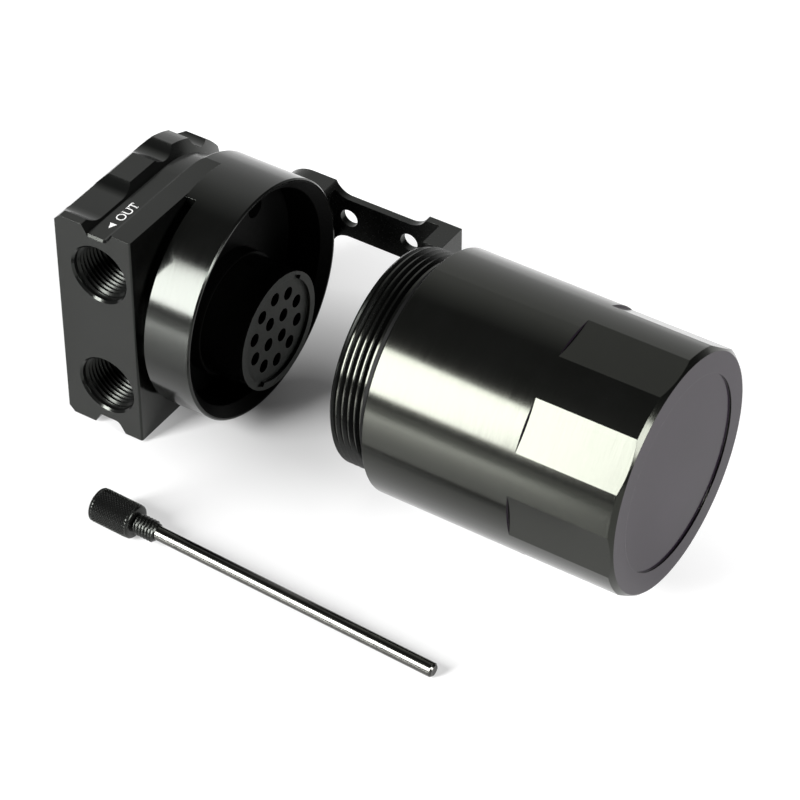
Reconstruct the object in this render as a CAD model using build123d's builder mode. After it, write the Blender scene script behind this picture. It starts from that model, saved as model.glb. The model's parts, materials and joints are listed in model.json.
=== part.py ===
from build123d import *
import math
import os

# Oil catch can taken apart and laid on its side. X runs along the can from the lid to the
# cup's base, Y from the ports to the bracket, Z up. All sizes are in millimetres, and sizes
# along the head are counted from the lid's outer face.

# Cup
cup_r = 35.0
cup_len = 75.2
cup_wall = 4.0
cup_floor = 5.0
neck_len = 13.0
neck_root_r = 30.25
neck_bore_r = 27.5
gland_len = 3.0
gland_root_r = 29.3
seal_side = 2.0
shoulder_chamfer = 0.5
base_chamfer = 1.3
recess_r = 27.6
recess_depth = 0.55
flat_count = 8
flat_start = 6.1
flat_len = 30.7
flat_depth = 0.8

# Head
head_r = 35.25
head_len = 42.8
block_len = 24.9
flat_half_h = 34.4
port_reach = 34.2
lid_chamfer = 1.8
flange_len = 8.5
groove_wall_len = 2.1
groove_depth = 2.7
flare_start = 8.2
flare_end = 10.2
flare_rise = 3.1
flare_slope = 0.5
flare_r = 1.6
notch_count = 7
notch_pitch = 28.5
notch_r = 6.2
notch_depth = 2.4
scoop_len = 24.2
scoop_front = 0.15
scoop_depth = 2.0
scoop_end_r = 7.5
chamber_r = 31.7
roof_x = 29.5
relief_len = 3.5
relief_r = 31.6
relief_back = 9.0
mouth_chamfer = 2.6
rim_chamfer = 0.4
port_edge_r = 0.6
overshoot = 2.0

# Ports and passages in the head
port_r = 8.6
port_x = 13.8
port_half_gap = 19.3
port_depth = 17.0
port_chamfer = 0.6
gallery_r = 6.2
gallery_depth = 30.0
drop_r = 5.0
drop_back = 25.2
inlet_drop_z = -14.5
outlet_drop_z = 22.0

# Baffle canister and the boss that holds it
canister_drop = 8.6
canister_r = 17.5
canister_bore_r = 13.8
boss_r = 18.2
boss_end = 33.8
socket_r = 15.9
socket_depth = 7.5
spigot_len = 7.0
spigot_play = 0.05
lip_x = 47.7
lip_bore_r = 15.3
lip_height = 1.0
plate_t = 1.5
plate_hole_r = 1.95
outer_ring_r = 10.6
outer_ring_count = 10
outer_ring_start = 18.0
inner_ring_r = 4.6
inner_ring_count = 4
inner_ring_start = 36.0
spanner_slot_w = 3.4
spanner_slot_start = 54.0

# Bracket
bracket_reach = 45.3
bracket_half_h = 10.0
web_t = 2.2
waist_half_h = 6.5
waist_scoop_r = 6.0
bracket_hole_r = 2.8
bracket_hole_x = 42.3
bracket_hole_gap = 20.0
lobe_x = 29.2
foot_end_x = 78.2
saddle_r = 36.05
saddle_depth = 4.0
pocket_left = 35.3
pocket_right = 75.7
pocket_bulge = 3.4
screw_r = 2.0
screw_head_r = 4.0
screw_half_gap = 4.5
screw_bite = 3.0
screw_play = 0.05
screw_clear = 0.2
screw_socket_flat = 2.5
screw_socket_depth = 1.6

# Dipstick
knob_r = 4.8
knob_len = 13.0
knob_chamfer = 0.6
stub_r = 3.0
stub_len = 7.0
stub_chamfer = 0.5
rod_r = 2.0
rod_grip = 8.0
tip_chamfer = 0.5
dip_len = 107.7

# Layout of the loose pieces
laid_gap = 54.6
dip_x = 32.7
dip_offset = 64.6
dip_yaw = math.radians(-0.9)
dip_hole_y = 16.0
dip_hole_z = 16.0
dip_hole_r = 3.1
dip_spot_r = 6.0
dip_spot_depth = 0.6

# Places worked out from the sizes above
lid_x = -(head_len + laid_gap + cup_len) / 2
rim_x = lid_x + head_len
shoulder_x = rim_x + laid_gap
base_x = shoulder_x + cup_len
neck_x = shoulder_x - neck_len
dip_front = dip_offset + knob_r - (knob_len - knob_chamfer) * math.sin(dip_yaw)
axis_y = (dip_front - bracket_reach) / 2
axis_z = head_r
boss_z = axis_z - canister_drop
can_axis = Axis((0, axis_y, axis_z), (1, 0, 0))
canister_axis = Axis((0, axis_y, boss_z), (1, 0, 0))


# Plane across the can at x, with its origin on an axis at height z
def across(x, z=axis_z):
    return Plane(origin=(x, axis_y, z), x_dir=(0, 1, 0), z_dir=(1, 0, 0))


# Upright plane through an axis at height z, for turned profiles
def along(z=axis_z):
    return Plane(origin=(0, axis_y, z), x_dir=(1, 0, 0), z_dir=(0, -1, 0))


# Upright plane facing the ports or the bracket, at a distance behind the can's axis
def facing(x, reach, toward):
    return Plane(origin=(x, axis_y + reach, axis_z), x_dir=(1, 0, 0), z_dir=(0, toward, 0))


# Cup: turned body and bore, wrench flats, neck turned to the root of its thread
with BuildPart() as cup:
    with BuildSketch(along()):
        with BuildLine():
            Polyline(
                (neck_x, neck_bore_r),
                (neck_x, neck_root_r - shoulder_chamfer),
                (neck_x + shoulder_chamfer, neck_root_r),
                (shoulder_x - gland_len, neck_root_r),
                (shoulder_x - gland_len, gland_root_r),
                (shoulder_x, gland_root_r),
                (shoulder_x, cup_r - shoulder_chamfer),
                (shoulder_x + shoulder_chamfer, cup_r),
                (base_x - base_chamfer, cup_r),
                (base_x, cup_r - base_chamfer),
                (base_x, recess_r),
                (base_x - recess_depth, recess_r),
                (base_x - recess_depth, 0),
                (base_x - cup_floor, 0),
                (base_x - cup_floor, cup_r - cup_wall),
                (shoulder_x + cup_wall, cup_r - cup_wall),
                (shoulder_x, neck_bore_r),
                close=True,
            )
        make_face()
    revolve(axis=can_axis)
    with BuildSketch(across(base_x)):
        with PolarLocations(cup_r - flat_depth, flat_count, start_angle=flat_start):
            Rectangle(2 * flat_depth, cup_r / 2, align=(Align.MIN, Align.CENTER))
    extrude(amount=-flat_len, mode=Mode.SUBTRACT)
cup.part.label = "cup"

# Square-cut seal ring in the gland beside the cup's shoulder
with BuildPart() as cup_seal:
    with BuildSketch(along()):
        with Locations((shoulder_x - gland_len / 2, gland_root_r)):
            Rectangle(seal_side, seal_side, align=(Align.CENTER, Align.MIN))
    revolve(axis=can_axis)
cup_seal.part.label = "cup_seal"

# Head: round back, flat sides and port face, then the round skirt that takes the cup's neck
flat_end = math.sqrt(head_r**2 - flat_half_h**2)
with BuildPart() as head:
    with BuildSketch(across(lid_x)):
        with BuildLine():
            ThreePointArc((flat_end, -flat_half_h), (head_r, 0), (flat_end, flat_half_h))
            Polyline(
                (flat_end, flat_half_h),
                (-port_reach, flat_half_h),
                (-port_reach, -flat_half_h),
                (flat_end, -flat_half_h),
            )
        make_face()
    extrude(amount=block_len)
    with BuildSketch(across(lid_x + block_len)):
        Circle(head_r)
    extrude(amount=head_len - block_len)
    chamfer(head.faces().sort_by(Axis.X)[0].edges().sort_by(Axis.Y)[1:], lid_chamfer)
    chamfer(head.faces().sort_by(Axis.X)[-1].edges(), rim_chamfer)

    # Groove under the flange, swept along both flat sides and round the back
    with BuildLine(across(lid_x + flange_len)) as groove_run:
        Line((-port_reach - overshoot, flat_half_h), (0, flat_half_h))
        ThreePointArc((0, flat_half_h), (flat_half_h, 0), (0, -flat_half_h))
        Line((0, -flat_half_h), (-port_reach - overshoot, -flat_half_h))
    with BuildSketch(Plane(origin=groove_run.line @ 0, x_dir=(1, 0, 0), z_dir=(0, 1, 0))):
        flare_top = groove_depth - flare_rise
        flare_out = flare_end + (flare_top + overshoot) / flare_slope
        with BuildLine():
            Polyline(
                (flare_out, -overshoot),
                (0, -overshoot),
                (0, flat_half_h - head_r),
                (groove_wall_len, groove_depth),
            )
            FilletPolyline(
                (groove_wall_len, groove_depth),
                (flare_start, groove_depth),
                (flare_end, flare_top),
                (flare_out, -overshoot),
                radius=flare_r,
            )
        make_face()
    sweep(mode=Mode.SUBTRACT)

    # Scalloped rim: a long scoop on each flat side, round notches about the back
    with BuildSketch(across(lid_x)):
        with Locations((scoop_front - port_reach + scoop_len / 2, flat_half_h - scoop_depth)):
            RectangleRounded(
                scoop_len, 3 * scoop_end_r, scoop_end_r, align=(Align.CENTER, Align.MIN)
            )
        mirror(about=Plane.XZ)
        with PolarLocations(
            head_r - notch_depth + notch_r,
            notch_count,
            start_angle=-notch_pitch * (notch_count - 1) / 2,
            angular_range=notch_pitch * (notch_count - 1),
            endpoint=True,
        ):
            Circle(notch_r)
    extrude(amount=flange_len + groove_wall_len, mode=Mode.SUBTRACT)

    # Relief turned into the front of the skirt, under the port block and its rounded edge
    with BuildSketch(across(lid_x + block_len)):
        with Locations((-relief_back, 0)):
            Rectangle(head_r, 2 * head_r, align=(Align.MAX, Align.CENTER))
        Circle(relief_r, mode=Mode.SUBTRACT)
    extrude(amount=relief_len, mode=Mode.SUBTRACT)
    port_face_edges = head.edges().filter_by(Axis.Z).group_by(Axis.Y)[0]
    fillet(port_face_edges.sort_by(Axis.X)[-1], port_edge_r)

    # Chamber for the cup's neck, and the boss with its socket for the canister
    with BuildSketch(across(rim_x)):
        Circle(chamber_r)
    extrude(amount=roof_x - head_len, mode=Mode.SUBTRACT)
    chamfer(
        head.faces().sort_by(Axis.X)[-1].edges().sort_by(SortBy.LENGTH)[0],
        mouth_chamfer,
    )
    with BuildSketch(across(lid_x + roof_x, boss_z)):
        Circle(boss_r)
    extrude(amount=boss_end - roof_x)
    with BuildSketch(across(lid_x + boss_end, boss_z)):
        Circle(socket_r)
    extrude(amount=-socket_depth, mode=Mode.SUBTRACT)

    # Tapped ports with the galleries behind them, one drop to the socket and one to the chamber
    with Locations(facing(lid_x + port_x, -port_reach, -1)):
        with GridLocations(0, 2 * port_half_gap, 1, 2):
            Hole(port_r, port_depth)
            Hole(gallery_r, gallery_depth)
    chamfer(
        head.faces().filter_by(Axis.Y).sort_by(Axis.Y)[0].edges().filter_by(GeomType.CIRCLE),
        port_chamfer,
    )
    with BuildSketch(across(lid_x + port_x)):
        with Locations(
            (drop_back - port_reach, inlet_drop_z), (drop_back - port_reach, outlet_drop_z)
        ):
            Circle(drop_r)
    extrude(amount=roof_x + overshoot - port_x, mode=Mode.SUBTRACT)

    # Dipstick hole through the lid
    with Locations(
        Plane(origin=(lid_x, axis_y + dip_hole_y, axis_z + dip_hole_z), z_dir=(-1, 0, 0))
    ):
        CounterBoreHole(dip_hole_r, dip_spot_r, dip_spot_depth, roof_x + overshoot)

    # Blind screw holes under the bracket's foot
    with Locations(facing(lid_x + lobe_x, head_r, 1)):
        with GridLocations(0, 2 * screw_half_gap, 1, 2):
            Hole(screw_r + screw_play, screw_bite + screw_play)
head.part.label = "head"

# Baffle canister: turned tube with a spigot, a lip and a drilled end plate
with BuildPart() as baffle_canister:
    with BuildSketch(along(boss_z)):
        with BuildLine():
            Polyline(
                (lid_x + boss_end - spigot_len, canister_bore_r),
                (lid_x + boss_end - spigot_len, socket_r - spigot_play),
                (lid_x + boss_end, socket_r - spigot_play),
                (lid_x + boss_end, canister_r),
                (lid_x + lip_x, canister_r),
                (lid_x + lip_x, lip_bore_r),
                (lid_x + lip_x - lip_height, lip_bore_r),
                (lid_x + lip_x - lip_height, 0),
                (lid_x + lip_x - lip_height - plate_t, 0),
                (lid_x + lip_x - lip_height - plate_t, canister_bore_r),
                close=True,
            )
        make_face()
    revolve(axis=canister_axis)
    with BuildSketch(across(lid_x + lip_x - lip_height, boss_z)):
        with PolarLocations(outer_ring_r, outer_ring_count, start_angle=outer_ring_start):
            Circle(plate_hole_r)
        with PolarLocations(inner_ring_r, inner_ring_count, start_angle=inner_ring_start):
            Circle(plate_hole_r)
    extrude(amount=-plate_t, mode=Mode.SUBTRACT)
    with BuildSketch(across(lid_x + lip_x, boss_z)):
        with PolarLocations(lip_bore_r, 2, start_angle=spanner_slot_start):
            Rectangle(canister_r - lip_bore_r, spanner_slot_w)
    extrude(amount=-lip_height, mode=Mode.SUBTRACT)
baffle_canister.part.label = "baffle_canister"

# Bracket: milled block with a dog-bone outline, saddle feet and a pocket between them
mid_x = bracket_hole_x + bracket_hole_gap / 2
with BuildPart() as bracket:
    with BuildSketch(facing(lid_x + mid_x, bracket_reach, -1)):
        with Locations((lobe_x - mid_x, 0)):
            Circle(bracket_half_h)
            Rectangle(
                foot_end_x - lobe_x, 2 * bracket_half_h, align=(Align.MIN, Align.CENTER)
            )
        with GridLocations(0, 2 * (waist_half_h + waist_scoop_r), 1, 2):
            SlotCenterToCenter(bracket_hole_gap, 2 * waist_scoop_r, mode=Mode.SUBTRACT)
        with GridLocations(bracket_hole_gap, 0, 2, 1):
            Circle(bracket_hole_r, mode=Mode.SUBTRACT)
    extrude(amount=bracket_reach - head_r + saddle_depth)
    with BuildSketch(across(lid_x)):
        Circle(head_r)
    extrude(amount=mid_x, mode=Mode.SUBTRACT)
    with BuildSketch(across(lid_x + mid_x)):
        Circle(saddle_r)
    extrude(amount=foot_end_x, mode=Mode.SUBTRACT)
    with BuildSketch(facing(lid_x + mid_x, bracket_reach - web_t, -1)):
        with BuildLine():
            left = pocket_left - mid_x
            right = pocket_right - mid_x
            ThreePointArc(
                (right - pocket_bulge, -bracket_half_h),
                (right, 0),
                (right - pocket_bulge, bracket_half_h),
            )
            Line((right - pocket_bulge, bracket_half_h), (left + pocket_bulge, bracket_half_h))
            ThreePointArc(
                (left + pocket_bulge, bracket_half_h),
                (left, 0),
                (left + pocket_bulge, -bracket_half_h),
            )
            Line((left + pocket_bulge, -bracket_half_h), (right - pocket_bulge, -bracket_half_h))
        make_face()
    extrude(amount=2 * bracket_half_h, mode=Mode.SUBTRACT)
    with Locations(facing(lid_x + lobe_x, bracket_reach, 1)):
        with GridLocations(0, 2 * screw_half_gap, 1, 2):
            CounterSinkHole(screw_r + screw_clear, screw_head_r + screw_play)
bracket.part.label = "bracket"

# Two countersunk socket screws through the bracket's lobe into the head
with BuildPart() as bracket_screws:
    with Locations(facing(lid_x + lobe_x, bracket_reach, 1)):
        with GridLocations(0, 2 * screw_half_gap, 1, 2):
            Cone(
                screw_r,
                screw_head_r,
                screw_head_r - screw_r,
                align=(Align.CENTER, Align.CENTER, Align.MAX),
            )
            Cylinder(
                screw_r,
                bracket_reach - head_r + screw_bite,
                align=(Align.CENTER, Align.CENTER, Align.MAX),
            )
    with BuildSketch(facing(lid_x + lobe_x, bracket_reach, 1)):
        with GridLocations(0, 2 * screw_half_gap, 1, 2):
            RegularPolygon(screw_socket_flat / 2, 6, major_radius=False)
    extrude(amount=-screw_socket_depth, mode=Mode.SUBTRACT)
bracket_screws.part.label = "bracket_screws"

# Dipstick lying on the floor, resting on the knob's inner edge and on the rod's tip
lean_run = dip_len - tip_chamfer - knob_len + knob_chamfer
lean = math.atan((knob_r - rod_r) / lean_run)
dip_z = (knob_len - knob_chamfer) * math.sin(lean) + knob_r * math.cos(lean)
dip_dir = (
    math.cos(lean) * math.cos(dip_yaw),
    math.cos(lean) * math.sin(dip_yaw),
    -math.sin(lean),
)
dip_plane = Plane(
    origin=(lid_x + dip_x, axis_y - dip_offset, dip_z),
    x_dir=dip_dir,
    z_dir=(math.sin(dip_yaw), -math.cos(dip_yaw), 0),
)
dip_axis = Axis(dip_plane.origin, dip_dir)
rod_start = knob_len + stub_len - rod_grip

with BuildPart() as dipstick_knob:
    with BuildSketch(dip_plane):
        with BuildLine():
            Polyline(
                (0, 0),
                (0, knob_r - knob_chamfer),
                (knob_chamfer, knob_r),
                (knob_len - knob_chamfer, knob_r),
                (knob_len, knob_r - knob_chamfer),
                (knob_len, stub_r),
                (knob_len + stub_len - stub_chamfer, stub_r),
                (knob_len + stub_len, stub_r - stub_chamfer),
                (knob_len + stub_len, rod_r),
                (rod_start, rod_r),
                (rod_start, 0),
                close=True,
            )
        make_face()
    revolve(axis=dip_axis)
dipstick_knob.part.label = "dipstick_knob"

with BuildPart() as dipstick_rod:
    with BuildSketch(dip_plane):
        with BuildLine():
            Polyline(
                (rod_start, 0),
                (rod_start, rod_r),
                (dip_len - tip_chamfer, rod_r),
                (dip_len, rod_r - tip_chamfer),
                (dip_len, 0),
                close=True,
            )
        make_face()
    revolve(axis=dip_axis)
dipstick_rod.part.label = "dipstick_rod"

os.makedirs("parts", exist_ok=True)
export_step(head.part, "parts/head.step")
export_step(baffle_canister.part, "parts/baffle_canister.step")
export_step(bracket.part, "parts/bracket.step")
export_step(bracket_screws.part, "parts/bracket_screws.step")
export_step(dipstick_knob.part, "parts/dipstick_knob.step")
export_step(dipstick_rod.part, "parts/dipstick_rod.step")
export_step(cup.part, "parts/cup.step")
export_step(cup_seal.part, "parts/cup_seal.step")
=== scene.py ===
import bpy
import json
import math
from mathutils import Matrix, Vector


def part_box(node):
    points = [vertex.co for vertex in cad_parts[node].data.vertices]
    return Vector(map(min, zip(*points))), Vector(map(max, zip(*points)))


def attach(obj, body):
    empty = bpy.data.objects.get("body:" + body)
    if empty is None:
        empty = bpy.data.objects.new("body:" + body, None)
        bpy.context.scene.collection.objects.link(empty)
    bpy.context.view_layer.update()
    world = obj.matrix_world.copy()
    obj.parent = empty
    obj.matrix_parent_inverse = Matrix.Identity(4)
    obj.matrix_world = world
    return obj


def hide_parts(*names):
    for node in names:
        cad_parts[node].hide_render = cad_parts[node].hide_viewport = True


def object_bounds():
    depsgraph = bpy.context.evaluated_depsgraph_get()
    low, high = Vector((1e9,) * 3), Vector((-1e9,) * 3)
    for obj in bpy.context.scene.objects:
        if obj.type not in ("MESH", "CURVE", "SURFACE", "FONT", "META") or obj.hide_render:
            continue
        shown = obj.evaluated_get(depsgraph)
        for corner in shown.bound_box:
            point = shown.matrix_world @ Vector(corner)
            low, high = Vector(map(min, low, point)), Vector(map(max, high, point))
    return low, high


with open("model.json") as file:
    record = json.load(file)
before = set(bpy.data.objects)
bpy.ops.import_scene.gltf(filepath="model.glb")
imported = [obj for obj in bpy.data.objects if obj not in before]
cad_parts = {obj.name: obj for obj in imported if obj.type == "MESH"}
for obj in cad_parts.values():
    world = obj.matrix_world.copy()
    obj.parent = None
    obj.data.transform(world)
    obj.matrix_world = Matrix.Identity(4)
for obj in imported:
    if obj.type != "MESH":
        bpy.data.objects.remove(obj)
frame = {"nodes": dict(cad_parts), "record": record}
cadLow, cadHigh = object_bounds()
nodes = frame["nodes"]
mounts = {mount["name"]: mount for mount in frame["record"]["mounts"]}
mm = 0.001
alongCan = (1, 0, 0)
smoothAngle = math.radians(35)  # edges flatter than this are shaded smooth
print("frame loaded,", len(nodes), "nodes")

# The can's axis and the ends of its main pieces, read from the frame
cupLow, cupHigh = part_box("cup")
axisY = (cupLow.y + cupHigh.y) / 2
axisZ = (cupLow.z + cupHigh.z) / 2
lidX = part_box("head")[0].x


def deselectAll():
    if bpy.context.mode != "OBJECT":
        bpy.ops.object.mode_set(mode="OBJECT")
    bpy.ops.object.select_all(action="DESELECT")


def pick(piece):
    deselectAll()
    bpy.context.view_layer.objects.active = piece
    piece.select_set(True)


def applyModifiers(piece):
    pick(piece)
    for modifier in list(piece.modifiers):
        bpy.ops.object.modifier_apply(modifier=modifier.name)


def applyPlace(piece):
    pick(piece)
    bpy.ops.object.transform_apply(location=True, rotation=True, scale=True)


def endCentre(node, side):
    # middle of a turned node's end face, lowest X for side -1 and highest for 1
    faceDepth = 0.3 * mm
    points = [vertex.co for vertex in nodes[node].data.vertices]
    reach = max(point.x * side for point in points)
    face = [point for point in points if point.x * side > reach - faceDepth]
    return sum(face, Vector()) / len(face)


# Materials: black anodising, steel, rubber and paint, each driven by noise over its surface

noiseSpan = (0.3, 0.7)  # most of the noise's values lie between these
noiseDetail = {"cloud": 4.0, "grain": 2.0}
zoneBlur = {"facing": 0.1, "place": 0.05 * mm}  # half width of the edge of a zone


def newFinish(name):
    material = bpy.data.materials.new(name)
    material.use_nodes = True
    tree = material.node_tree
    shader = tree.nodes["Principled BSDF"]
    coords = tree.nodes.new("ShaderNodeTexCoord")
    return material, tree, shader, coords


def addNoise(tree, coords, scale, detail, stretch=None):
    noise = tree.nodes.new("ShaderNodeTexNoise")
    noise.inputs["Scale"].default_value = scale
    noise.inputs["Detail"].default_value = detail
    if stretch:
        mapping = tree.nodes.new("ShaderNodeMapping")
        mapping.inputs["Scale"].default_value = stretch
        tree.links.new(coords, mapping.inputs["Vector"])
        coords = mapping.outputs["Vector"]
    tree.links.new(coords, noise.inputs["Vector"])
    return noise.outputs["Fac"]


def addRange(tree, value, low, high, fromLow=noiseSpan[0], fromHigh=noiseSpan[1]):
    ranger = tree.nodes.new("ShaderNodeMapRange")
    ranger.inputs["From Min"].default_value = fromLow
    ranger.inputs["From Max"].default_value = fromHigh
    ranger.inputs["To Min"].default_value = low
    ranger.inputs["To Max"].default_value = high
    tree.links.new(value, ranger.inputs["Value"])
    return ranger.outputs["Result"]


def addTone(tree, value, dark, light):
    ramp = tree.nodes.new("ShaderNodeValToRGB")
    ramp.color_ramp.elements[0].position = noiseSpan[0]
    ramp.color_ramp.elements[0].color = (*dark, 1)
    ramp.color_ramp.elements[1].position = noiseSpan[1]
    ramp.color_ramp.elements[1].color = (*light, 1)
    tree.links.new(value, ramp.inputs["Fac"])
    return ramp.outputs["Color"]


def addVector(tree, operation, vector, other=None):
    node = tree.nodes.new("ShaderNodeVectorMath")
    node.operation = operation
    tree.links.new(vector, node.inputs[0])
    if other is not None:
        node.inputs[1].default_value = other
    return node.outputs["Value" if operation in ("LENGTH", "DOT_PRODUCT") else "Vector"]


def addMath(tree, operation, first, second):
    node = tree.nodes.new("ShaderNodeMath")
    node.operation = operation
    tree.links.new(first, node.inputs[0])
    tree.links.new(second, node.inputs[1])
    return node.outputs["Value"]


def addShare(tree, coords, zone):
    # 1 inside the zone: on faces that look along the can, beyond an X, or beyond it and within a radius
    if "facing" in zone:
        facing = addVector(tree, "DOT_PRODUCT", coords.outputs["Normal"], alongCan)
        blur = zoneBlur["facing"]
        return addRange(tree, facing, 0, 1, zone["facing"] - blur, zone["facing"] + blur)
    place = coords.outputs["Object"]
    blur = zoneBlur["place"]
    reach = addVector(tree, "DOT_PRODUCT", place, alongCan)
    share = addRange(tree, reach, 0, 1, zone["beyond"] - blur, zone["beyond"] + blur)
    if "within" in zone:
        offset = addVector(tree, "SUBTRACT", place, (0, axisY, axisZ))
        radius = addVector(tree, "LENGTH", addVector(tree, "MULTIPLY", offset, (0, 1, 1)))
        inside = addRange(tree, radius, 1, 0, zone["within"] - blur, zone["within"] + blur)
        share = addMath(tree, "MULTIPLY", share, inside)
    return share


def addMix(tree, share, first, second):
    mix = tree.nodes.new("ShaderNodeMixRGB")
    tree.links.new(share, mix.inputs["Fac"])
    tree.links.new(first, mix.inputs["Color1"])
    tree.links.new(second, mix.inputs["Color2"])
    return mix.outputs["Color"]


def addBump(tree, shader, height, look):
    bump = tree.nodes.new("ShaderNodeBump")
    bump.inputs["Strength"].default_value = look["bump"]
    bump.inputs["Distance"].default_value = look["bumpDepth"]
    if "edge" in look:
        # broken edges, which catch the light
        rounded = tree.nodes.new("ShaderNodeBevel")
        rounded.inputs["Radius"].default_value = look["edge"]
        tree.links.new(rounded.outputs["Normal"], bump.inputs["Normal"])
    tree.links.new(height, bump.inputs["Height"])
    tree.links.new(bump.outputs["Normal"], shader.inputs["Normal"])


def addCoat(tree, coords, look):
    # colour, roughness and grain of one finish
    cloud = addNoise(tree, coords, look["cloudScale"], noiseDetail["cloud"])
    grain = addNoise(tree, coords, look["grainScale"], noiseDetail["grain"], look.get("grainStretch"))
    colour = addTone(tree, cloud, look["dark"], look["light"])
    return colour, addRange(tree, grain, look["smooth"], look["rough"]), grain


def surface(name, look, zones=()):
    # one finish all over, with others in the zones; the shine follows the last zone that gives one
    material, tree, shader, coords = newFinish(name)
    place = coords.outputs["Object"]
    colour, roughness, grain = addCoat(tree, place, look)
    for zone in zones:
        share = addShare(tree, coords, zone)
        zoneColour, zoneRoughness, zoneGrain = addCoat(tree, place, zone["look"])
        colour = addMix(tree, share, colour, zoneColour)
        roughness = addMix(tree, share, roughness, zoneRoughness)
        grain = addMix(tree, share, grain, zoneGrain)
        # a zone's own shine; the chamber's low shine is painted shade
        if "shine" in zone["look"]:
            zoneShineAndPaintedShade = addRange(tree, share, look["shine"], zone["look"]["shine"], 0, 1)
            tree.links.new(zoneShineAndPaintedShade, shader.inputs["Specular IOR Level"])
    tree.links.new(colour, shader.inputs["Base Color"])
    tree.links.new(roughness, shader.inputs["Roughness"])
    shader.inputs["IOR"].default_value = look["ior"]
    shader.inputs["Metallic"].default_value = look.get("metallic", 0.0)
    shader.inputs["Specular IOR Level"].default_value = look.get("shine", 0.5)
    shader.inputs["Specular Tint"].default_value = (*look.get("tint", (1, 1, 1)), 1)
    addBump(tree, shader, grain, look)
    return material


# the sealed black reflects a little green
milledLook = {"cloudScale": 60, "grainScale": 2200, "dark": (0.0025, 0.0026, 0.0025),
              "light": (0.0041, 0.0042, 0.0041), "smooth": 0.14, "rough": 0.2, "ior": 1.4, "shine": 0.42,
              "tint": (0.95, 1.0, 0.92), "bump": 0.05, "bumpDepth": 0.05 * mm, "edge": 0.1 * mm}
# turned faces: noise drawn out into rings about the can's axis
turnedLook = {**milledLook, "grainScale": 300, "grainStretch": (18, 0.4, 0.4),
              "dark": (0.0020, 0.0021, 0.0019), "light": (0.0032, 0.0033, 0.0031),
              "smooth": 0.13, "rough": 0.18, "shine": 0.5, "tint": (0.96, 1.0, 0.86),
              "bump": 0.025, "bumpDepth": 0.02 * mm, "edge": 0.18 * mm}
# painted shade: the inside of the head is rougher, and its darker colour and almost no shine keep the mouth
# black
chamberPaintedShadeLook = {"cloudScale": 100, "grainScale": 2000, "dark": (0.0020, 0.0020, 0.0020),
               "light": (0.0030, 0.0030, 0.0030), "smooth": 0.4, "rough": 0.5, "shine": 0.05}
baseLook = {**milledLook, "grainScale": 1500, "dark": (0.0140, 0.0092, 0.0160),
            "light": (0.0185, 0.0122, 0.0210), "smooth": 0.15, "rough": 0.2, "shine": 0.2}
bracketLook = {**milledLook, "smooth": 0.2, "rough": 0.28}
plateLook = {"cloudScale": 120, "grainScale": 3000, "dark": (0.027, 0.029, 0.029),
             "light": (0.036, 0.038, 0.038), "smooth": 0.5, "rough": 0.62}
screwLook = {**milledLook, "smooth": 0.2, "rough": 0.3}
# cut threads and knurling are too fine for broken edges
cutLook = {key: value for key, value in milledLook.items() if key != "edge"}
threadLook = {**cutLook, "smooth": 0.2, "rough": 0.28, "shine": 0.25}
knobLook = {**cutLook, "smooth": 0.2, "rough": 0.3}
rubberLook = {"cloudScale": 200, "grainScale": 4000, "dark": (0.0035, 0.0035, 0.0035),
              "light": (0.0055, 0.0055, 0.0055), "smooth": 0.45, "rough": 0.6, "ior": 1.5,
              "shine": 0.1, "bump": 0.1, "bumpDepth": 0.03 * mm}
paintLook = {"cloudScale": 900, "grainScale": 5000, "dark": (0.80, 0.80, 0.79),
             "light": (0.90, 0.90, 0.89), "smooth": 0.5, "rough": 0.65, "ior": 1.5,
             "bump": 0.1, "bumpDepth": 0.02 * mm}
rodLook = {"cloudScale": 300, "grainScale": 300, "grainStretch": (0.5, 14, 14),
           "dark": (0.062, 0.062, 0.057), "light": (0.084, 0.084, 0.078), "smooth": 0.16, "rough": 0.25,
           "ior": 1.5, "metallic": 1.0, "bump": 0.02, "bumpDepth": 0.02 * mm}

# the head's skirt behind the port block and its chamber, then the end faces of canister and cup
headPlaces = {"skirtFrom": 24.9 * mm, "chamberFrom": 29.0 * mm, "chamberR": 34.4 * mm}
headZones = (
    {"look": turnedLook, "beyond": lidX + headPlaces["skirtFrom"]},
    # this zone paints shade inside the head's chamber
    {"look": chamberPaintedShadeLook, "beyond": lidX + headPlaces["chamberFrom"], "within": headPlaces["chamberR"]},
)
endFacing = 0.85
plateZone = {"look": plateLook, "facing": endFacing}
baseZone = {"look": baseLook, "facing": endFacing}

finishes = {
    "head": surface("headBlack", milledLook, headZones),
    "bracket": surface("bracketBlack", bracketLook),
    "baffle_canister": surface("canisterBlack", turnedLook, (plateZone,)),
    "bracket_screws": surface("screwBlack", screwLook),
    "dipstick_knob": surface("knobBlack", knobLook),
    "dipstick_rod": surface("rodSteel", rodLook),
    "cup": surface("cupBlack", turnedLook, (baseZone,)),
    "cup_seal": surface("sealRubber", rubberLook),
}
threadBlack = surface("threadBlack", threadLook)
whitePaint = surface("whitePaint", paintLook)
for nodeName, finish in finishes.items():
    nodes[nodeName].data.materials.clear()
    nodes[nodeName].data.materials.append(finish)
print("materials done")


# Threads: a trapezoid section swept by the Screw modifier, fading into the wall at both ends

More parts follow.
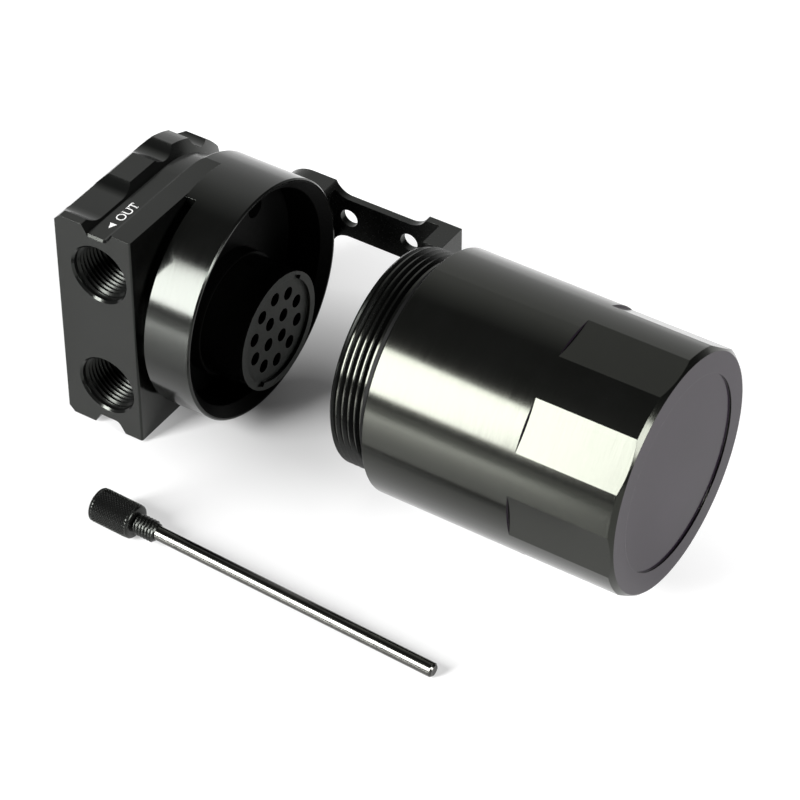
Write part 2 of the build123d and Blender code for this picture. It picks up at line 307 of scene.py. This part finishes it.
def threadRidge(name, start, direction, ridge):
    sink = math.copysign(ridge["sink"], ridge["crestR"] - ridge["rootR"])
    footR = ridge["rootR"] - sink
    deselectAll()
    bpy.ops.mesh.primitive_plane_add(size=1)
    thread = bpy.context.object
    thread.name = name
    bpy.ops.object.mode_set(mode="EDIT")
    bpy.ops.mesh.delete(type="ONLY_FACE")
    bpy.ops.object.mode_set(mode="OBJECT")
    for vertex in thread.data.vertices:
        atCrest = vertex.co.x > 0
        width = ridge["crestW"] if atCrest else ridge["rootW"]
        radius = ridge["crestR"] if atCrest else footR
        vertex.co = (radius, 0, math.copysign(width / 2, vertex.co.y))
    screw = thread.modifiers.new("Screw", "SCREW")
    screw.angle = 2 * math.pi
    screw.screw_offset = ridge["pitch"]
    screw.iterations = ridge["turns"]
    screw.steps = screw.render_steps = ridge["steps"]
    screw.use_merge_vertices = False
    applyModifiers(thread)
    bpy.ops.object.mode_set(mode="EDIT")
    bpy.ops.mesh.select_all(action="SELECT")
    bpy.ops.mesh.fill_holes(sides=4)
    bpy.ops.mesh.select_all(action="SELECT")
    bpy.ops.mesh.normals_make_consistent(inside=False)
    bpy.ops.object.mode_set(mode="OBJECT")
    # run-out: the crest sinks to the root over the first and last part of a turn
    run = ridge["pitch"] * ridge["turns"]
    for vertex in thread.data.vertices:
        radius = math.hypot(vertex.co.x, vertex.co.y)
        fade = min(vertex.co.z, run - vertex.co.z) / (ridge["fade"] * ridge["pitch"])
        share = min(1.0, max(0.0, fade))
        target = footR + (radius - footR) * share
        vertex.co.x *= target / radius
        vertex.co.y *= target / radius
    thread.rotation_mode = "QUATERNION"
    thread.rotation_quaternion = Vector(direction).to_track_quat("Z", "Y")
    thread.location = start
    applyPlace(thread)
    bpy.ops.object.shade_smooth_by_angle(angle=smoothAngle)
    return thread


portThread = {"rootR": 8.6 * mm, "crestR": 7.9 * mm, "crestW": 0.1 * mm, "rootW": 1.2 * mm,
              "sink": 0.05 * mm, "pitch": 1.41 * mm, "turns": 10, "steps": 64, "fade": 0.5,
              "inset": 1.0 * mm}
portRun = portThread["pitch"] * portThread["turns"]
for portName in ("outlet_port", "inlet_port"):
    port = mounts[portName]
    axis = Vector(port["axis"])
    mouth = Vector(port["pos_m"]) + axis * port["dims"]["length_mm"] * mm / 2
    begin = mouth - axis * (portRun + portThread["inset"])
    thread = threadRidge(portName.replace("_port", "Thread"), begin, axis, portThread)
    thread.data.materials.append(threadBlack)
    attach(thread, "head_group")

neckThread = {"rootR": 30.25 * mm, "crestR": 31.2 * mm, "crestW": 0.04 * mm, "rootW": 1.7 * mm,
              "sink": 0.1 * mm, "pitch": 1.9 * mm, "turns": 5, "steps": 128, "fade": 0.4,
              "inset": 0.3 * mm}
neckStart = (cupLow.x + neckThread["inset"], axisY, axisZ)
neck = threadRidge("neckThread", neckStart, alongCan, neckThread)
neck.data.materials.append(threadBlack)
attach(neck, "cup_group")
print("threads done")


# Dipstick knob: knurled barrel with rounded ends and a threaded stub

knobSize = {"radius": 4.9 * mm, "length": 13.0 * mm, "columns": 60, "rows": 26, "knurlDepth": 0.22 * mm,
            # length and end radius of each step of the rounded ends
            "rounding": ((0.3 * mm, 4.8 * mm), (0.3 * mm, 4.6 * mm), (0.2 * mm, 4.25 * mm)),
            "stubR": 2.55 * mm, "stubLen": 7.0 * mm, "stubBevel": 0.4 * mm}
stubThread = {"rootR": 2.55 * mm, "crestR": 3.0 * mm, "crestW": 0.12 * mm, "rootW": 0.9 * mm,
              "sink": 0.05 * mm, "pitch": 1.0 * mm, "turns": 6, "steps": 32, "fade": 0.3,
              "inset": 0.4 * mm}
dipStart = endCentre("dipstick_knob", -1)
dipTip = endCentre("dipstick_rod", 1)
dipAxis = (dipTip - dipStart).normalized()


def makeKnob(size):
    barrel = size["length"] - 2 * sum(step for step, radius in size["rounding"])
    grooveR = size["radius"] - size["knurlDepth"]
    deselectAll()
    bpy.ops.mesh.primitive_cylinder_add(vertices=size["columns"], radius=grooveR, depth=barrel)
    knob = bpy.context.object
    knob.name = "knurledKnob"
    mesh = knob.data
    for edge in mesh.edges:
        ends = [mesh.vertices[index].co for index in edge.vertices]
        edge.select = abs(ends[0].z - ends[1].z) > barrel / 2
    for polygon in mesh.polygons:
        polygon.select = False
    bpy.ops.object.mode_set(mode="EDIT")
    bpy.ops.mesh.select_mode(type="EDGE")
    bpy.ops.mesh.subdivide(number_cuts=size["rows"] - 1)
    bpy.ops.object.mode_set(mode="OBJECT")
    # raise every other point of the grid, so that crossed grooves are left between them
    for vertex in mesh.vertices:
        row = round((vertex.co.z / barrel + 0.5) * size["rows"])
        column = round(math.atan2(vertex.co.y, vertex.co.x) / (2 * math.pi) * size["columns"])
        inside = 0 < row < size["rows"]
        if inside and (row + column) % 2:
            vertex.co.x *= size["radius"] / grooveR
            vertex.co.y *= size["radius"] / grooveR
    return knob


def pickEnd(piece, side):
    # the cap at one end of the piece's own Z, selected for the next operators
    squarely = 0.9
    slack = 1e-6
    bpy.ops.object.mode_set(mode="OBJECT")
    reach = max(vertex.co.z * side for vertex in piece.data.vertices)
    for vertex in piece.data.vertices:
        vertex.select = False
    for edge in piece.data.edges:
        edge.select = False
    for polygon in piece.data.polygons:
        polygon.select = polygon.normal.z * side > squarely and polygon.center.z * side > reach - slack
    bpy.ops.object.mode_set(mode="EDIT")
    bpy.ops.mesh.select_mode(type="FACE")


def extrudeEnd(side, length, fromR, toR):
    bpy.ops.mesh.extrude_region_move(TRANSFORM_OT_translate={"value": (0, 0, side * length)})
    scale = toR / fromR
    bpy.ops.transform.resize(value=(scale, scale, 1), center_override=(0, 0, 0))


def finishKnob(piece, size):
    for side in (-1, 1):
        pickEnd(piece, side)
        endR = size["radius"] - size["knurlDepth"]
        for step, radius in size["rounding"]:
            extrudeEnd(side, step, endR, radius)
            endR = radius
    pickEnd(piece, 1)
    extrudeEnd(1, 0, endR, size["stubR"])
    extrudeEnd(1, size["stubLen"] - size["stubBevel"], size["stubR"], size["stubR"])
    extrudeEnd(1, size["stubBevel"], size["stubR"], size["stubR"] - size["stubBevel"])
    bpy.ops.mesh.select_all(action="SELECT")
    bpy.ops.mesh.quads_convert_to_tris(quad_method="SHORTEST_DIAGONAL")
    bpy.ops.object.mode_set(mode="OBJECT")
    piece.rotation_mode = "QUATERNION"
    piece.rotation_quaternion = dipAxis.to_track_quat("Z", "Y")
    piece.location = dipStart + dipAxis * size["length"] / 2
    applyPlace(piece)
    bpy.ops.object.shade_smooth_by_angle(angle=smoothAngle)


knob = makeKnob(knobSize)
finishKnob(knob, knobSize)
knob.data.materials.append(finishes["dipstick_knob"])
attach(knob, "head_group")
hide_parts("dipstick_knob")
stubStart = dipStart + dipAxis * (knobSize["length"] + stubThread["inset"])
stub = threadRidge("stubThread", stubStart, dipAxis, stubThread)
stub.data.materials.append(finishes["dipstick_knob"])
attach(stub, "head_group")
print("dipstick done")


# Flow mark beside the outlet: a word and an arrow in white paint on the groove's floor

flowMark = {"word": "OUT", "middle": (13.95 * mm, -8.4 * mm), "height": 2.7 * mm, "length": 8.2 * mm,
            "arrowTip": -16.7 * mm, "arrowBase": -14.4 * mm, "arrowHalf": 1.05 * mm,
            "floorZ": axisZ + 31.7 * mm, "thick": 0.04 * mm, "rawThick": 0.05,
            # place and size of each serif, as shares of the word
            "serifs": ((-0.072, 0.46, 0.1, 0.055), (0.165, 0.46, 0.085, 0.055), (0.3625, -0.46, 0.12, 0.055),
                       (0.237, 0.33, 0.024, 0.2), (0.488, 0.33, 0.024, 0.2))}


def paintWord(mark):
    deselectAll()
    bpy.ops.object.text_add()
    word = bpy.context.object
    word.data.body = mark["word"]
    word.data.extrude = mark["rawThick"]  # scaled to thick below
    bpy.ops.object.convert(target="MESH")
    bpy.ops.object.origin_set(type="ORIGIN_GEOMETRY", center="BOUNDS")
    word.location = (0, 0, 0)
    size = word.dimensions.copy()
    for across, up, wide, high in mark["serifs"]:
        deselectAll()
        bpy.ops.mesh.primitive_cube_add(size=1, location=(across * size.x, up * size.y, 0))
        serif = bpy.context.object
        serif.scale = (wide * size.x, high * size.y, size.z)
        applyPlace(serif)
        pick(word)
        serif.select_set(True)
        bpy.ops.object.join()
    word.scale = (mark["length"] / size.x, mark["height"] / size.y, mark["thick"] / size.z)
    word.rotation_euler.z = math.pi / 2  # read from the port face, letter tops to the lid
    word.location = (lidX + mark["middle"][0], mark["middle"][1], mark["floorZ"])
    applyPlace(word)
    return word


def paintArrow(mark):
    deselectAll()
    bpy.ops.mesh.primitive_plane_add(size=1)
    arrow = bpy.context.object
    for vertex in arrow.data.vertices:
        vertex.select = vertex.co.y < 0
    for edge in arrow.data.edges:
        edge.select = all(arrow.data.vertices[index].select for index in edge.vertices)
    arrow.data.polygons[0].select = False
    bpy.ops.object.mode_set(mode="EDIT")
    bpy.ops.mesh.merge(type="CENTER")
    bpy.ops.mesh.select_all(action="SELECT")
    bpy.ops.mesh.extrude_region_move(TRANSFORM_OT_translate={"value": (0, 0, mark["thick"])})
    bpy.ops.mesh.select_all(action="SELECT")
    bpy.ops.mesh.normals_make_consistent(inside=False)
    bpy.ops.object.mode_set(mode="OBJECT")
    arrow.scale = (2 * mark["arrowHalf"], mark["arrowBase"] - mark["arrowTip"], 1)
    arrow.location = (lidX + mark["middle"][0], (mark["arrowBase"] + mark["arrowTip"]) / 2,
                      mark["floorZ"] - mark["thick"] / 2)
    applyPlace(arrow)
    return arrow


word = paintWord(flowMark)
arrow = paintArrow(flowMark)
pick(word)
arrow.select_set(True)
bpy.ops.object.join()
word.name = "flowMark"
word.data.materials.append(whitePaint)
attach(word, "head_group")
print("flow mark done")


# Stage: white floor, soft boxes and the camera at the photograph's angle

# painted light and painted shadow: the floor's own light whitens it for the camera and in reflections, more
# behind the object where its cast shadows fall, and least of all between head and cup, where it paints a
# shadow
floorLook = {"size": 6.0, "albedo": 0.45, "roughness": 0.15, "shine": 0.1,
             "frontLift": 0.4, "backLift": 0.75, "backward": (0.47, 0.88, 0),
             "backFrom": -0.02, "backTo": 0.08,
             "paintedShadow": (-0.033, 0.014, 0), "paintedShadowShare": 0.1, "paintedShadowFrom": 0.012, "paintedShadowTo": 0.055}
deselectAll()
bpy.ops.mesh.primitive_plane_add(size=floorLook["size"])
floor = bpy.context.object
floor.name = "floor"
material, tree, shader, coords = newFinish("floorWhite")
shader.inputs["Base Color"].default_value = (floorLook["albedo"],) * 3 + (1,)
shader.inputs["Roughness"].default_value = floorLook["roughness"]
shader.inputs["Specular IOR Level"].default_value = floorLook["shine"]
lightPath = tree.nodes.new("ShaderNodeLightPath").outputs
seen = addMath(tree, "MAXIMUM", lightPath["Is Camera Ray"], lightPath["Is Glossy Ray"])
seen = addMath(tree, "MAXIMUM", seen, lightPath["Is Transmission Ray"])
# painted light: more glow behind the object washes out its cast shadows
behind = addVector(tree, "DOT_PRODUCT", coords.outputs["Object"], floorLook["backward"])
lift = addRange(tree, behind, floorLook["frontLift"], floorLook["backLift"],
                floorLook["backFrom"], floorLook["backTo"])
# painted shadow: less glow around a point between head and cup
away = addVector(tree, "LENGTH", addVector(tree, "SUBTRACT", coords.outputs["Object"], floorLook["paintedShadow"]))
paintedShadow = addRange(tree, away, floorLook["paintedShadowShare"], 1, floorLook["paintedShadowFrom"], floorLook["paintedShadowTo"])
lift = addMath(tree, "MULTIPLY", lift, paintedShadow)
shader.inputs["Emission Color"].default_value = (1, 1, 1, 1)
tree.links.new(addMath(tree, "MULTIPLY", seen, lift), shader.inputs["Emission Strength"])
floor.data.materials.append(material)

# two soft boxes, the large one to the front left and the other beside the cup's base
softBoxes = {
    "frontBox": {"toward": (-0.4255, -0.8002, 0.4226), "distance": 1.5,
                 "width": 0.49, "height": 0.98, "power": 62.0},
    "sideBox": {"toward": (0.916, -0.163, 0.367), "distance": 1.2,
                "width": 0.49, "height": 0.34, "power": 15.0},
}
partMiddle = (cadLow + cadHigh) / 2
for boxName, box in softBoxes.items():
    toward = Vector(box["toward"])
    deselectAll()
    bpy.ops.object.light_add(type="AREA", location=partMiddle + toward * box["distance"])
    lamp = bpy.context.object
    lamp.name = boxName
    lamp.rotation_euler = toward.to_track_quat("Z", "Y").to_euler()
    lamp.data.shape = "RECTANGLE"
    lamp.data.size = box["width"]
    lamp.data.size_y = box["height"]
    lamp.data.energy = box["power"]

# a pale wall of light behind the object that fades into a dim ceiling
room = {"wall": (-0.4924, 0.8529, 0.1736), "wallLight": 1.0, "ceilingLight": 0.06,
        "fadeFrom": 60, "fadeTo": 28}  # degrees off the wall
world = bpy.data.worlds.new("studio")
bpy.context.scene.world = world
world.use_nodes = True
tree = world.node_tree
direction = tree.nodes.new("ShaderNodeTexCoord")
towardWall = addVector(tree, "DOT_PRODUCT", direction.outputs["Generated"], room["wall"])
roomLight = addRange(tree, towardWall, room["ceilingLight"], room["wallLight"],
                     math.cos(math.radians(room["fadeFrom"])), math.cos(math.radians(room["fadeTo"])))
tree.links.new(roomLight, tree.nodes["Background"].inputs["Strength"])
tree.nodes["Background"].inputs["Color"].default_value = (1, 1, 1, 1)

# the camera's place is measured from the middle of the cup's base
cameraView = {"azimuth": 32.838, "elevation": 40.847, "lens": 152.2, "sensor": 36, "nearest": 0.05,
              "fromBase": (0.28952, -0.5810, 0.58279)}
azimuth = math.radians(cameraView["azimuth"])
elevation = math.radians(cameraView["elevation"])
back = Vector((math.sin(azimuth) * math.cos(elevation), -math.cos(azimuth) * math.cos(elevation),
               math.sin(elevation)))
baseMiddle = Vector((cupHigh.x, axisY, axisZ))
deselectAll()
bpy.ops.object.camera_add(location=baseMiddle + Vector(cameraView["fromBase"]))
camera = bpy.context.object
camera.rotation_euler = back.to_track_quat("Z", "Y").to_euler()
camera.data.sensor_width = cameraView["sensor"]
camera.data.lens = cameraView["lens"]
camera.data.clip_start = cameraView["nearest"]
bpy.context.scene.camera = camera
bpy.context.scene.view_settings.view_transform = "Standard"
print("stage done")

deselectAll()
